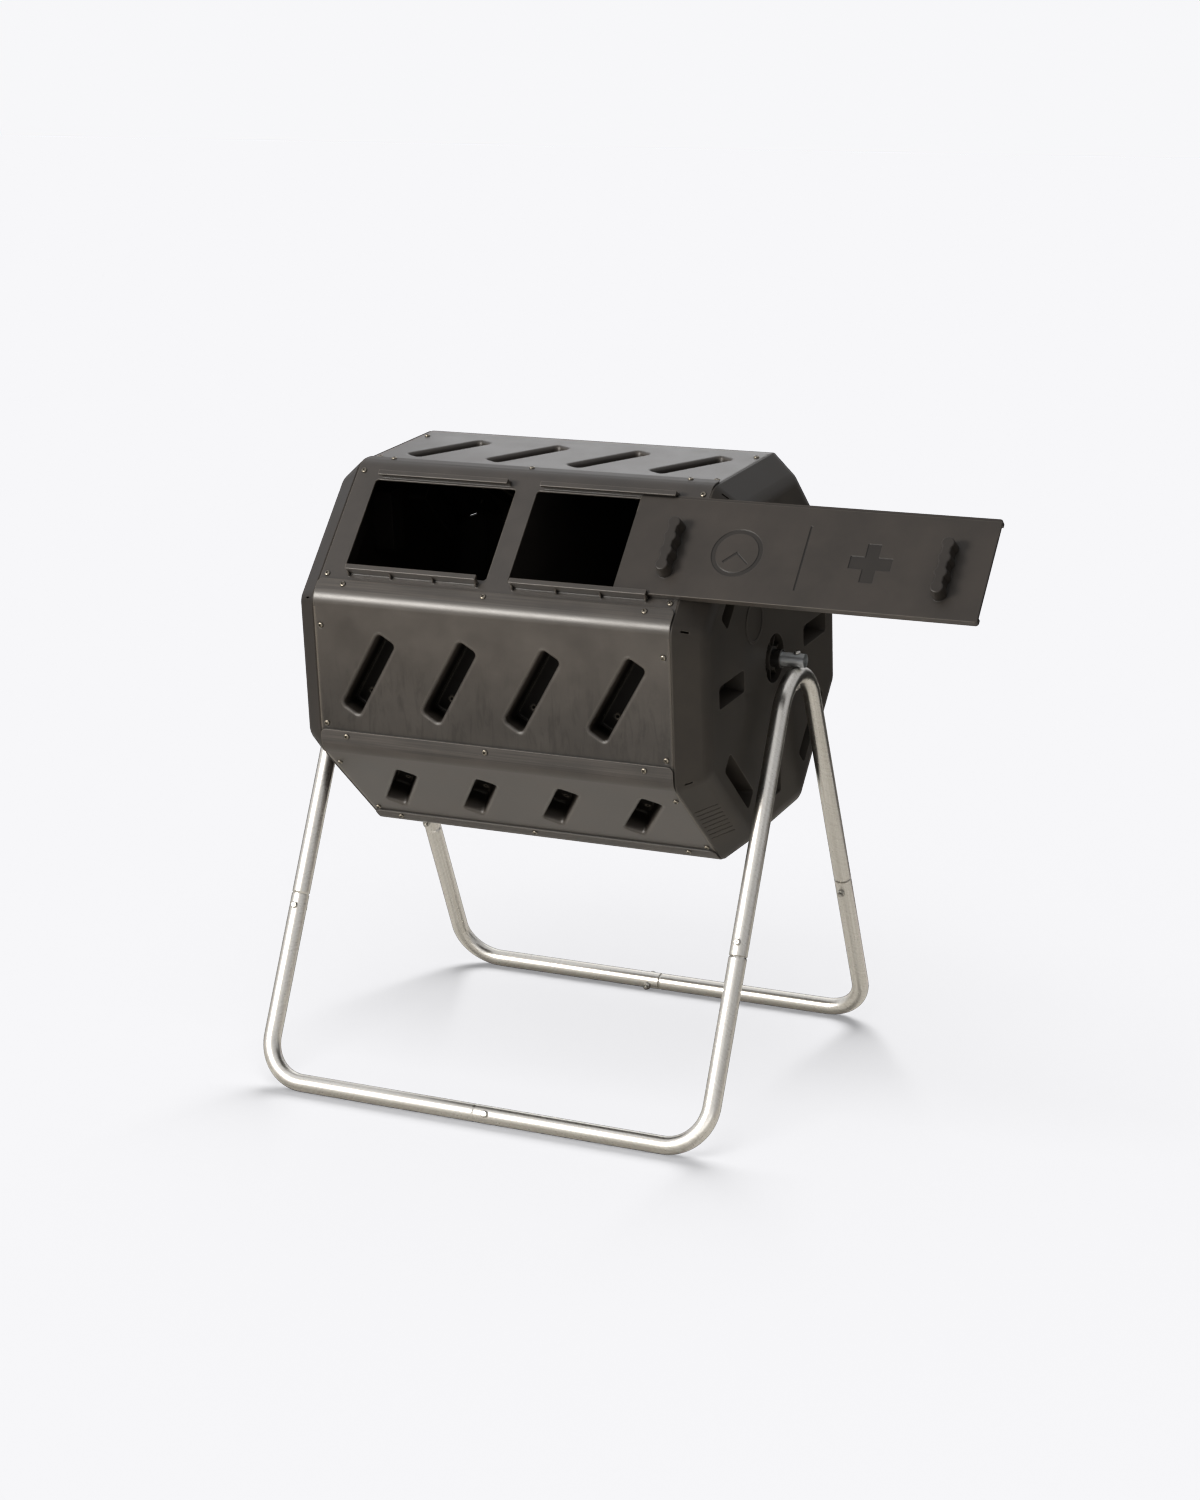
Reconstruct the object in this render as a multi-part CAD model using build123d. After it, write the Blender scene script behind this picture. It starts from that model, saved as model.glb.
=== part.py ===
from build123d import *
import os
from math import asin, atan2, cos, hypot, radians, sin, sqrt, tan

# Tumbling compost bin: an eight-sided drum of lapped plastic panels that turns on a fixed steel axle,
# carried by a stand of bent steel tube, with one long door that slides along the drum.
# Frame: X along the axle, -Y the loading side, +Z up, origin on the floor midway between the feet.
# Lengths are in millimetres and angles in degrees.

# Stand: two hairpins, four feet and the axle
AXLE_HEIGHT = 642.0
AXLE_DIAMETER = 20.0
AXLE_WALL = 1.5
AXLE_OVERHANG = 13.0
TUBE_DIAMETER = 25.4
TUBE_WALL = 1.5
RAIL_SPACING = 650.0
HAIRPIN_BEND_RADIUS = 68.0
HAIRPIN_CLEARANCE = 9.3
FOOT_BEND_RADIUS = 63.0
LEG_JOINT_HEIGHT = 262.0
SPIGOT_LENGTH = 45.0
SPIGOT_CLEARANCE = 0.15
NECK_LENGTH = 4.0
JOINT_BOLT_SETBACK = 18.0

# Bolts and nuts of the stand
BOLT_DIAMETER = 6.0
BOLT_CLEARANCE = 0.3
BOLT_HEAD_DIAMETER = 10.5
BOLT_HEAD_HEIGHT = 3.6
BOLT_HEAD_ROUND = 2.5
BOLT_RECESS_LENGTH = 4.4
BOLT_RECESS_WIDTH = 1.3
BOLT_TIP = 3.0
NUT_WIDTH = 10.0
NUT_HEIGHT = 5.0

# Drum panels
DRUM_TURN = 4.8
FACE_APOTHEM = 273.0
PANEL_WALL = 3.0
PANEL_LENGTH = 552.0
LAP_WIDTH = 31.0
LAP_BEND_RADIUS = 25.0
LAP_CORNER_RADIUS = 8.0
LAP_FOOT_CLEARANCE = 1.2
SIDE_COUNT = 8

# Slanted mixing pockets moulded into each plain panel
POCKET_COUNT = 4
POCKET_WIDTH = 31.6
POCKET_LENGTH = 127.0
POCKET_CORNER = 7.0
POCKET_DEPTH = 34.0
POCKET_DRAFT = 5.0
POCKET_SLANT = 30.5
POCKET_END_MARGIN = 82.5
POCKET_RISE = 5.5
POCKET_MOUTH_RADIUS = 3.4
VENT_HOLE_DIAMETER = 5.0
VENT_HOLE_DROP = 37.0
VENT_HOLE_SHIFT = 5.0

# Self-tapping screws of the drum
SCREW_DIAMETER = 4.0
SCREW_CLEARANCE = 0.25
SCREW_BITE = 0.04
SCREW_HEAD_DIAMETER = 8.0
SCREW_HEAD_HEIGHT = 2.6
SCREW_HEAD_ROUND = 1.8
SCREW_LENGTH = 13.0
SCREW_TIP_DIAMETER = 1.0
SCREW_RECESS_LENGTH = 4.8
SCREW_RECESS_WIDTH = 1.7
SCREW_RECESS_DEPTH = 1.4
SEAM_SCREW_EDGE = 23.1
SEAM_SCREW_INSET = 42.4
MIDDLE_SCREW_SHIFT = -11.0
END_SCREW_INSET = 10.0
END_SCREW_HEIGHT = 73.0
DOOR_PANEL_SCREW_HEIGHT = 100.0
BOSS_DIAMETER = 9.0
BOSS_HEIGHT = 8.0

# End plates
END_PLATE_WALL = 3.0
END_PLATE_FIT = 0.2
END_PLATE_GAP = 0.6
END_PLATE_DEPTH = 42.0
END_PLATE_LIP = 2.0
END_FACE_APOTHEM = 241.0
END_FACE_CORNER = 22.0
END_EDGE_RADIUS = 25.0
RIM_WIDTH = 26.0
END_POCKET_DEPTH = 30.0
END_POCKET_DRAFT = 7.0
END_POCKET_CORNER = 6.0
RADIAL_POCKET_LENGTH = 92.0
RADIAL_POCKET_WIDTH = 33.0
RADIAL_POCKET_START = 114.0
EDGE_POCKET_LENGTH = 118.0
EDGE_POCKET_WIDTH = 30.0
EDGE_POCKET_MARGIN = 27.0
CORNER_SLOT_LENGTH = 9.5
CORNER_SLOT_WIDTH = 3.0
CORNER_SLOT_INSET = 9.0
VENT_SLIT_COUNT = 8
VENT_SLIT_PITCH = 11.6
VENT_SLIT_LENGTH = 36.0
VENT_SLIT_WIDTH = 1.8
VENT_SLIT_SHIFT = -9.0
VENT_SLIT_SKEW = -13.0
VENT_SLIT_INSET = 21.0
BARE_RING_RADIUS = 32.0
BARE_RING_WIDTH = 4.0
BARE_RING_HEIGHT = 1.2
BARE_RING_DISTANCE = 106.0

# Hubs and their bearing bushes
HUB_RECESS_RADIUS = 36.0
HUB_RECESS_DEPTH = 22.0
HUB_BOSS_WALL = 3.5
HUB_BOSS_DROP = 2.0
HUB_RIB_COUNT = 10
HUB_RIB_WIDTH = 2.2
HUB_RIB_START = 1.0
HUB_RIB_DROP = 7.0
BUSH_WALL = 3.4
BUSH_FIT = 0.05
BUSH_PROJECTION = 12.0
BUSH_FLANGE_WIDTH = 6.0
BUSH_FLANGE_HEIGHT = 3.0
RUNNING_CLEARANCE = 0.1

# Wall between the two chambers
DIVIDER_WALL = 3.0
DIVIDER_FIT = 0.2
DIVIDER_AXLE_CLEARANCE = 1.0
DIVIDER_TAB_LENGTH = 28.0
DIVIDER_TAB_WIDTH = 20.0

# Loading mouths and the rails that hold the door
MOUTH_HEIGHT = 150.0
MOUTH_CENTRE = 12.0
MOUTH_CORNER = 5.0
MOUTH_END_MARGIN = 34.0
CENTRE_BAR_WIDTH = 33.0
RAIL_END_SETBACK = 9.5
RAIL_LEDGE = 3.9
RAIL_WALL = 3.5
RAIL_LIP_THICKNESS = 4.2
RAIL_LIP_CLEARANCE = 0.7
RAIL_RIB_COUNT = 4
RAIL_RIB_WIDTH = 2.2
RAIL_RIB_FOOT = 4.5

# Sliding door
DOOR_LIFT = 0.4
DOOR_SIDE_CLEARANCE = 0.6
DOOR_END_OVERLAP = 16.0
DOOR_HELD_LENGTH = 51.5
DOOR_THICKNESS = 10.0
DOOR_WALL = 3.5
DOOR_RUNNER_WIDTH = 8.0
DOOR_TONGUE_WIDTH = 5.0
DOOR_TONGUE_STEP = 2.5
DOOR_CORNER = 4.0
HANDLE_END_DISTANCE = 63.6
HANDLE_SHIFT = 5.0
HANDLE_DROP = 8.0
HANDLE_LOBES = 4
HANDLE_LOBE_PITCH = 22.2
HANDLE_LOBE_RADIUS = 8.8
HANDLE_WAIST_WIDTH = 12.0
HANDLE_WAIST_RADIUS = 3.0
HANDLE_HEIGHT = 20.0
HANDLE_DRAFT = 6.0
HANDLE_EDGE_RADIUS = 2.0
ENGRAVING_DEPTH = 0.7
DOOR_MARK_DROP = 4.5
PICTOGRAM_DISTANCE = 95.0
CLOCK_RADIUS = 36.5
CLOCK_RING_WIDTH = 6.0
CLOCK_HAND_LENGTH = 21.0
CLOCK_HAND_WIDTH = 3.4
CLOCK_HAND_ANGLE = 223.0
CLOCK_FINE_HAND_LENGTH = 24.0
CLOCK_FINE_HAND_WIDTH = 1.4
CLOCK_FINE_HAND_ANGLE = -40.0
PLUS_LENGTH = 59.0
PLUS_ARM_WIDTH = 19.0
PARTING_GROOVE_LENGTH = 100.0
PARTING_GROOVE_WIDTH = 2.6

# Places worked out from the driving dimensions
side_angle = 360.0 / SIDE_COUNT
half_side = FACE_APOTHEM * tan(radians(side_angle / 2))
panel_end = PANEL_LENGTH / 2
end_face_x = panel_end + END_PLATE_DEPTH
bush_end_x = end_face_x + BUSH_PROJECTION
hairpin_x = bush_end_x + HAIRPIN_CLEARANCE + TUBE_DIAMETER / 2
axle_end_x = hairpin_x + AXLE_OVERHANG
rail_y = RAIL_SPACING / 2
rail_z = TUBE_DIAMETER / 2
bolt_hole_radius = BOLT_DIAMETER / 2 + BOLT_CLEARANCE
# The axle is drawn down on its hairpin until it bears on the rim of the bolt hole
saddle_drop = TUBE_DIAMETER / 2 - sqrt((TUBE_DIAMETER / 2) ** 2 - bolt_hole_radius ** 2)
crest_z = AXLE_HEIGHT - AXLE_DIAMETER / 2 - TUBE_DIAMETER / 2 + saddle_drop
bend_centre_z = crest_z - HAIRPIN_BEND_RADIUS
leg_reach = hypot(rail_y, bend_centre_z - rail_z)
leg_lean = atan2(rail_y, bend_centre_z - rail_z) - asin(HAIRPIN_BEND_RADIUS / leg_reach)
leg_apex_z = rail_z + rail_y / tan(leg_lean)
leg_joint_y = (leg_apex_z - LEG_JOINT_HEIGHT) * tan(leg_lean)
spigot_radius = TUBE_DIAMETER / 2 - TUBE_WALL - SPIGOT_CLEARANCE

drum_place = Pos(0, 0, AXLE_HEIGHT) * Rot(DRUM_TURN, 0, 0)

os.makedirs("parts", exist_ok=True)


def write(shape, node):
    export_step(shape, f"parts/{node}.step")


# Stand tubes

def tube_along(path):
    start = Plane(origin=path @ 0, z_dir=path % 0)
    ring = Circle(TUBE_DIAMETER / 2) - Circle(TUBE_DIAMETER / 2 - TUBE_WALL)
    return sweep(start * ring, path=path)


def swaged_end(joint, outward):
    """Short cone and reduced spigot that go on from a tube's end into the next tube."""
    neck = Plane(origin=joint - outward * NECK_LENGTH, z_dir=outward)
    seat = Align.CENTER, Align.CENTER, Align.MIN
    bore = spigot_radius - TUBE_WALL
    outer = Cone(TUBE_DIAMETER / 2, spigot_radius, NECK_LENGTH, align=seat)
    outer += Pos(0, 0, NECK_LENGTH) * Cylinder(spigot_radius, SPIGOT_LENGTH, align=seat)
    inner = Cone(TUBE_DIAMETER / 2 - TUBE_WALL, bore, NECK_LENGTH, align=seat)
    inner += Pos(0, 0, NECK_LENGTH) * Cylinder(bore, SPIGOT_LENGTH, align=seat)
    return neck * (outer - inner)


def drill(origin, direction, diameter, length):
    return Plane(origin=origin, z_dir=direction) * Cylinder(diameter / 2, length)


def joint_bolt_holes():
    """Holes through every tube joint, square to the plane in which the feet are bent."""
    return [drill(place, head, 2 * bolt_hole_radius, TUBE_DIAMETER * 2) for place, head in joint_bolts]


def leg_joint(side_x, side_y):
    return Vector(side_x * hairpin_x, side_y * leg_joint_y, LEG_JOINT_HEIGHT)


def leg_up(side_y):
    return Vector(0, -side_y * sin(leg_lean), cos(leg_lean))


def leg_outward(side_y):
    return Vector(0, side_y * cos(leg_lean), sin(leg_lean))


# The stand is the same after half a turn about Z: a leg with side_x * side_y < 0 on the loading side's
# right has the foot's spigot inside the hairpin, and the other pair has it the other way round.
def foot_has_spigot(side_x, side_y):
    return side_x * side_y < 0


joint_bolts = []
for side_x in (-1, 1):
    for side_y in (-1, 1):
        setback = JOINT_BOLT_SETBACK if foot_has_spigot(side_x, side_y) else -JOINT_BOLT_SETBACK
        joint_bolts.append((leg_joint(side_x, side_y) + leg_up(side_y) * setback, leg_outward(side_y)))
for side_y in (-1, 1):
    joint_bolts.append((Vector(-side_y * JOINT_BOLT_SETBACK, side_y * rail_y, rail_z), leg_outward(side_y)))


def hairpin(side_x):
    """Bent tube standing in one plane, its crest under the axle; one leg ends in a spigot."""
    inner_leg = side_x
    ends = {}
    for side_y in (-1, 1):
        ends[side_y] = leg_joint(side_x, side_y)
        if side_y == inner_leg:
            ends[side_y] += leg_up(side_y) * NECK_LENGTH
    apex = Vector(side_x * hairpin_x, 0, leg_apex_z)
    path = FilletPolyline(ends[-1], apex, ends[1], radius=HAIRPIN_BEND_RADIUS)
    body = tube_along(path) + swaged_end(leg_joint(side_x, inner_leg), -leg_up(inner_leg))
    body -= drill((side_x * hairpin_x, 0, crest_z), (0, 0, 1), 2 * bolt_hole_radius, TUBE_DIAMETER * 2)
    return body - joint_bolt_holes()


def foot(side_x, side_y):
    """Bent tube from a leg joint down to the floor and along the rail to the middle."""
    spigot_on_leg = foot_has_spigot(side_x, side_y)
    along_rail = Vector(-side_x, 0, 0)
    joint = leg_joint(side_x, side_y)
    middle = Vector(0, side_y * rail_y, rail_z)
    leg_end = joint - leg_up(side_y) * NECK_LENGTH if spigot_on_leg else joint
    rail_end = middle if spigot_on_leg else middle - along_rail * NECK_LENGTH
    corner = Vector(side_x * hairpin_x, side_y * rail_y, rail_z)
    path = FilletPolyline(leg_end, corner, rail_end, radius=FOOT_BEND_RADIUS)
    body = tube_along(path)
    if spigot_on_leg:
        body += swaged_end(joint, leg_up(side_y))
    else:
        body += swaged_end(middle, along_rail)
    return body - joint_bolt_holes()


for side_x, hand in ((-1, "left"), (1, "right")):
    write(hairpin(side_x), f"hairpin_{hand}")
    for side_y, end in ((-1, "front"), (1, "rear")):
        write(foot(side_x, side_y), f"foot_{end}_{hand}")


# Axle, bolts and nuts

axle = Rot(0, 90, 0) * (Cylinder(AXLE_DIAMETER / 2, 2 * axle_end_x)
                        - Cylinder(AXLE_DIAMETER / 2 - AXLE_WALL, 2 * axle_end_x))
axle = Pos(0, 0, AXLE_HEIGHT) * axle
for side_x in (-1, 1):
    axle -= drill((side_x * hairpin_x, 0, AXLE_HEIGHT), (0, 0, 1), 2 * bolt_hole_radius, AXLE_DIAMETER * 2)
write(axle, "axle")


def pan_bolt(grip):
    """Round-headed bolt, its head's seat at the origin and its shank down -Z."""
    seat = Align.CENTER, Align.CENTER, Align.MIN
    head = Cylinder(BOLT_HEAD_DIAMETER / 2, BOLT_HEAD_HEIGHT, align=seat)
    head = fillet(head.edges().group_by(Axis.Z)[-1], BOLT_HEAD_ROUND)
    for turn in (0, 90):
        recess = Box(BOLT_RECESS_LENGTH, BOLT_RECESS_WIDTH, BOLT_HEAD_HEIGHT)
        head -= Pos(0, 0, BOLT_HEAD_HEIGHT) * Rot(0, 0, turn) * recess
    shank_length = grip + NUT_HEIGHT + BOLT_TIP
    return head + Pos(0, 0, -shank_length) * Cylinder(BOLT_DIAMETER / 2, shank_length, align=seat)


def hex_nut():
    """Nut with its seat at the origin, standing down -Z and bored to clear the thread's crest."""
    blank = extrude(RegularPolygon(NUT_WIDTH / 2, 6, major_radius=False), -NUT_HEIGHT)
    return blank - Cylinder(BOLT_DIAMETER / 2 + SCREW_BITE, NUT_HEIGHT * 3)


def bolt_frame(seat, head):
    return Plane(origin=seat, z_dir=head)


frame_bolts = []
frame_nuts = []
for place, head in joint_bolts:
    frame_bolts.append(bolt_frame(place + head * (TUBE_DIAMETER / 2), head) * pan_bolt(TUBE_DIAMETER))
    frame_nuts.append(bolt_frame(place - head * (TUBE_DIAMETER / 2), head) * hex_nut())
write(Compound(children=frame_bolts), "frame_bolts")
write(Compound(children=frame_nuts), "frame_nuts")

axle_bolts = []
axle_nuts = []
axle_top = AXLE_HEIGHT + AXLE_DIAMETER / 2
# Under the hairpin's bend a nut bears on the bend's inside at its two outer flats
bend_inside = HAIRPIN_BEND_RADIUS - TUBE_DIAMETER / 2
nut_seat_z = bend_centre_z + sqrt(bend_inside ** 2 - (NUT_WIDTH / 2) ** 2)
for side_x in (-1, 1):
    axle_bolts.append(Pos(side_x * hairpin_x, 0, axle_top) * pan_bolt(axle_top - nut_seat_z))
    axle_nuts.append(Pos(side_x * hairpin_x, 0, nut_seat_z) * hex_nut())
write(Compound(children=axle_bolts), "axle_bolts")
write(Compound(children=axle_nuts), "axle_nuts")


# Drum panels, drawn about the axle as X with side 0 facing -Y; side k follows up and back round the drum

def side_normal(side):
    angle = radians(side_angle * side)
    return Vector(0, -cos(angle), sin(angle))


def side_place(side, offset=0.0):
    """Place on the middle of a side: X along the axle, Y up and back round the drum, Z outwards."""
    normal = side_normal(side)
    return Plane(origin=normal * (FACE_APOTHEM + offset), x_dir=(1, 0, 0), z_dir=normal).location


def side_point(side, along, offset):
    """A point (y, z) on the drum's section, given along a side and outwards from its face."""
    angle = radians(side_angle * side)
    reach = FACE_APOTHEM + offset
    return -reach * cos(angle) + along * sin(angle), reach * sin(angle) + along * cos(angle)


def lap_corner(offset_here, offset_next):
    """Where side 0 at one offset meets side 1 at another, as (y, z)."""
    angle = radians(side_angle)
    reach = FACE_APOTHEM + offset_here
    return -reach, (FACE_APOTHEM + offset_next - reach * cos(angle)) / sin(angle)


inner_corner_y, inner_corner_z = lap_corner(-PANEL_WALL, 0)
bend_tangent = LAP_BEND_RADIUS * tan(radians(side_angle / 2))
lap_start = inner_corner_y * sin(radians(side_angle)) + inner_corner_z * cos(radians(side_angle))
panel_foot = lap_start + bend_tangent + LAP_FOOT_CLEARANCE
lap_edge = LAP_WIDTH - half_side
seam_screw_along = SEAM_SCREW_EDGE - half_side
seam_screw_xs = (SEAM_SCREW_INSET - panel_end, MIDDLE_SCREW_SHIFT, panel_end - SEAM_SCREW_INSET)
end_screw_x = panel_end - END_SCREW_INSET


def panel_blank():
    """Flat side with its upper edge bent over to lap on the outside of the next side."""
    outer_corner = lap_corner(0, PANEL_WALL)
    inner_corner = lap_corner(-PANEL_WALL, 0)
    outline = make_face(Polyline(
        side_point(0, panel_foot, 0),
        outer_corner,
        side_point(1, lap_edge, PANEL_WALL),
        side_point(1, lap_edge, 0),
        inner_corner,
        side_point(0, panel_foot, -PANEL_WALL),
        close=True,
    ))
    outer_vertex = outline.vertices().sort_by_distance(outer_corner + (0,))[0]
    outline = fillet(outer_vertex, LAP_BEND_RADIUS + PANEL_WALL)
    inner_vertex = outline.vertices().sort_by_distance(inner_corner + (0,))[0]
    outline = fillet(inner_vertex, LAP_BEND_RADIUS)
    blank = extrude(Plane.YZ * outline, panel_end, both=True)
    free_edge = Vector(0, *side_point(1, lap_edge, PANEL_WALL / 2))
    free_corners = blank.edges().filter_by(
        lambda edge: abs(edge.length - PANEL_WALL) < 1e-3
        and (edge.center() - free_edge).cross(Vector(1, 0, 0)).length < PANEL_WALL / 4)
    return fillet(free_corners, LAP_CORNER_RADIUS)


def screw_hole(place, x, along, diameter, depth):
    return place * Pos(x, along, 0) * Cylinder(diameter / 2, depth)


def with_screw_holes(panel, upper_end_screw):
    """Bosses and holes for the lap above, the lap below and the two end plates."""
    here = side_place(0)
    lap = side_place(1)
    clearance_hole = SCREW_DIAMETER + 2 * SCREW_CLEARANCE
    pilot_hole = SCREW_DIAMETER + 2 * SCREW_BITE
    through = 4 * PANEL_WALL
    for x in (seam_screw_xs[0], seam_screw_xs[2]):
        boss = Cylinder(BOSS_DIAMETER / 2, BOSS_HEIGHT, align=(Align.CENTER, Align.CENTER, Align.MAX))
        panel += here * Pos(x, seam_screw_along, -PANEL_WALL) * boss
        panel -= screw_hole(here, x, seam_screw_along, pilot_hole, 4 * (PANEL_WALL + BOSS_HEIGHT))
    panel -= screw_hole(here, seam_screw_xs[1], seam_screw_along, clearance_hole, through)
    for x in seam_screw_xs:
        panel -= screw_hole(lap, x, seam_screw_along, clearance_hole, through)
    for x in (-end_screw_x, end_screw_x):
        for along in (-END_SCREW_HEIGHT, upper_end_screw):
            panel -= screw_hole(here, x, along, clearance_hole, through)
    return panel


def plain_panel():
    """Panel with a row of slanted blind pockets that turn the compost over, each with an air hole."""
    panel = panel_blank()
    pitch = (PANEL_LENGTH - 2 * POCKET_END_MARGIN) / (POCKET_COUNT - 1)
    first = POCKET_END_MARGIN - panel_end
    here = side_place(0)
    mouth = RectangleRounded(POCKET_WIDTH, POCKET_LENGTH, POCKET_CORNER)
    skin = RectangleRounded(POCKET_WIDTH + 2 * PANEL_WALL, POCKET_LENGTH + 2 * PANEL_WALL,
                            POCKET_CORNER + PANEL_WALL)
    void = extrude(mouth, -POCKET_DEPTH, taper=POCKET_DRAFT)
    body = Pos(0, 0, -PANEL_WALL / 2) * extrude(skin, -(POCKET_DEPTH + PANEL_WALL / 2), taper=POCKET_DRAFT)
    places = [here * Pos(first + i * pitch, POCKET_RISE, 0) * Rot(0, 0, -POCKET_SLANT)
              for i in range(POCKET_COUNT)]
    panel += [place * body for place in places]
    panel -= [place * void for place in places]
    on_face = panel.edges().filter_by(lambda edge: abs(edge.center().Y + FACE_APOTHEM) < 1e-4)
    mouth_edges = on_face.filter_by(lambda edge: abs((edge % 0).X * (edge % 0).Z) > 1e-4 or
                                    edge.geom_type == GeomType.CIRCLE)
    panel = fillet(mouth_edges, POCKET_MOUTH_RADIUS)
    air_hole = Pos(VENT_HOLE_SHIFT, -VENT_HOLE_DROP, -POCKET_DEPTH) * Cylinder(
        VENT_HOLE_DIAMETER / 2, 4 * PANEL_WALL)
    return panel - [place * air_hole for place in places]


# Door panel: two loading mouths, with a rail above and below each one to hold the sliding door

mouth_end = panel_end - MOUTH_END_MARGIN
mouth_length = mouth_end - CENTRE_BAR_WIDTH / 2
mouth_middle = (mouth_end + CENTRE_BAR_WIDTH / 2) / 2
rail_length = mouth_length - 2 * RAIL_END_SETBACK
rail_inside = MOUTH_HEIGHT / 2 + RAIL_LEDGE
lip_underside = DOOR_LIFT + DOOR_THICKNESS + RAIL_LIP_CLEARANCE
rail_height = lip_underside + RAIL_LIP_THICKNESS


def rail():
    """One door rail in its own frame: X along it, +Y away from the mouth's middle, Z out of the panel."""
    low = Align.CENTER, Align.MIN, Align.MIN
    wall = Pos(0, rail_inside, 0) * Box(rail_length, RAIL_WALL, rail_height, align=low)
    lip_width = RAIL_LEDGE + RAIL_WALL
    lip = Box(rail_length, lip_width, RAIL_LIP_THICKNESS, align=low)
    body = wall + Pos(0, MOUTH_HEIGHT / 2, lip_underside) * lip
    outside = rail_inside + RAIL_WALL
    gusset = Polyline((outside, 0), (outside + RAIL_RIB_FOOT, 0), (outside, lip_underside), close=True)
    rib = extrude(Plane.YZ * make_face(gusset), RAIL_RIB_WIDTH / 2, both=True)
    rib_span = rail_length - 2 * RAIL_RIB_WIDTH
    for i in range(RAIL_RIB_COUNT):
        body += Pos(rib_span * (i / (RAIL_RIB_COUNT - 1) - 0.5), 0, 0) * rib
    return body


def door_panel():
    panel = panel_blank()
    here = side_place(0)
    for side_x in (-1, 1):
        middle = here * Pos(side_x * mouth_middle, MOUTH_CENTRE, 0)
        opening = RectangleRounded(mouth_length, MOUTH_HEIGHT, MOUTH_CORNER)
        panel -= middle * extrude(opening, 2 * PANEL_WALL, both=True)
        for turn in (0, 180):
            panel += middle * Rot(0, 0, turn) * rail()
    return with_screw_holes(panel, DOOR_PANEL_SCREW_HEIGHT)


SIDE_NAMES = ("front_panel", "door_panel", "top_panel", "rear_upper_panel", "rear_panel",
              "rear_lower_panel", "bottom_panel", "front_lower_panel")
DOOR_SIDE = SIDE_NAMES.index("door_panel")
slotted = with_screw_holes(plain_panel(), END_SCREW_HEIGHT)
for side, node in enumerate(SIDE_NAMES):
    panel = door_panel() if side == DOOR_SIDE else slotted
    write(drum_place * Rot(-side_angle * side, 0, 0) * panel, node)


# End plates: octagonal dishes that close the drum, with a rim inside the panels

rim_apothem = FACE_APOTHEM - PANEL_WALL - END_PLATE_FIT
bevel_start_x = panel_end + END_PLATE_GAP + END_PLATE_LIP
bevel_slope = (FACE_APOTHEM - END_FACE_APOTHEM) / (end_face_x - bevel_start_x)
skirt_corner = LAP_BEND_RADIUS + PANEL_WALL
bush_radius = AXLE_DIAMETER / 2 + RUNNING_CLEARANCE + BUSH_WALL
hub_floor_x = end_face_x - HUB_RECESS_DEPTH
bush_inner_x = hub_floor_x - END_PLATE_WALL


def octagon_at(x, apothem, corner):
    """Octagon with rounded corners, square to the axle."""
    outline = RegularPolygon(apothem, SIDE_COUNT, major_radius=False, rotation=side_angle / 2)
    return Plane.YZ * Pos(0, 0, x) * fillet(outline.vertices(), corner)


def bevelled_cap(shrink):
    """Octagonal cap with a sloping border: the outer form, or the same form drawn in by the wall."""
    slant = shrink * sqrt(1 + bevel_slope ** 2)
    top_x = end_face_x - shrink
    top_apothem = FACE_APOTHEM - slant - bevel_slope * (top_x - bevel_start_x)
    foot = octagon_at(bevel_start_x, FACE_APOTHEM - slant, skirt_corner - shrink)
    cap = loft([foot, octagon_at(top_x, top_apothem, END_FACE_CORNER - shrink)], ruled=True)
    return fillet(cap.faces().sort_by(Axis.X)[-1].edges(), END_EDGE_RADIUS - shrink)


def bevel_place(side):
    """Place at the foot of a side's sloping border: X up the slope, Z out of the plastic."""
    facing = side_normal(side)
    slope = (Vector(1, 0, 0) - facing * bevel_slope).normalized()
    out = (Vector(bevel_slope, 0, 0) + facing).normalized()
    foot = Vector(bevel_start_x, 0, 0) + facing * FACE_APOTHEM
    return Plane(origin=foot, x_dir=slope, z_dir=out).location


def blind_pocket(width, length):
    """Skin and void of a moulded recess, its mouth on Z = 0 and its length along Y."""
    mouth = RectangleRounded(width, length, END_POCKET_CORNER)
    skin = RectangleRounded(width + 2 * END_PLATE_WALL, length + 2 * END_PLATE_WALL,
                            END_POCKET_CORNER + END_PLATE_WALL)
    body = extrude(skin, -(END_POCKET_DEPTH + END_PLATE_WALL / 2), taper=END_POCKET_DRAFT)
    return Pos(0, 0, -END_PLATE_WALL / 2) * body, extrude(mouth, -END_POCKET_DEPTH, taper=END_POCKET_DRAFT)


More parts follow.
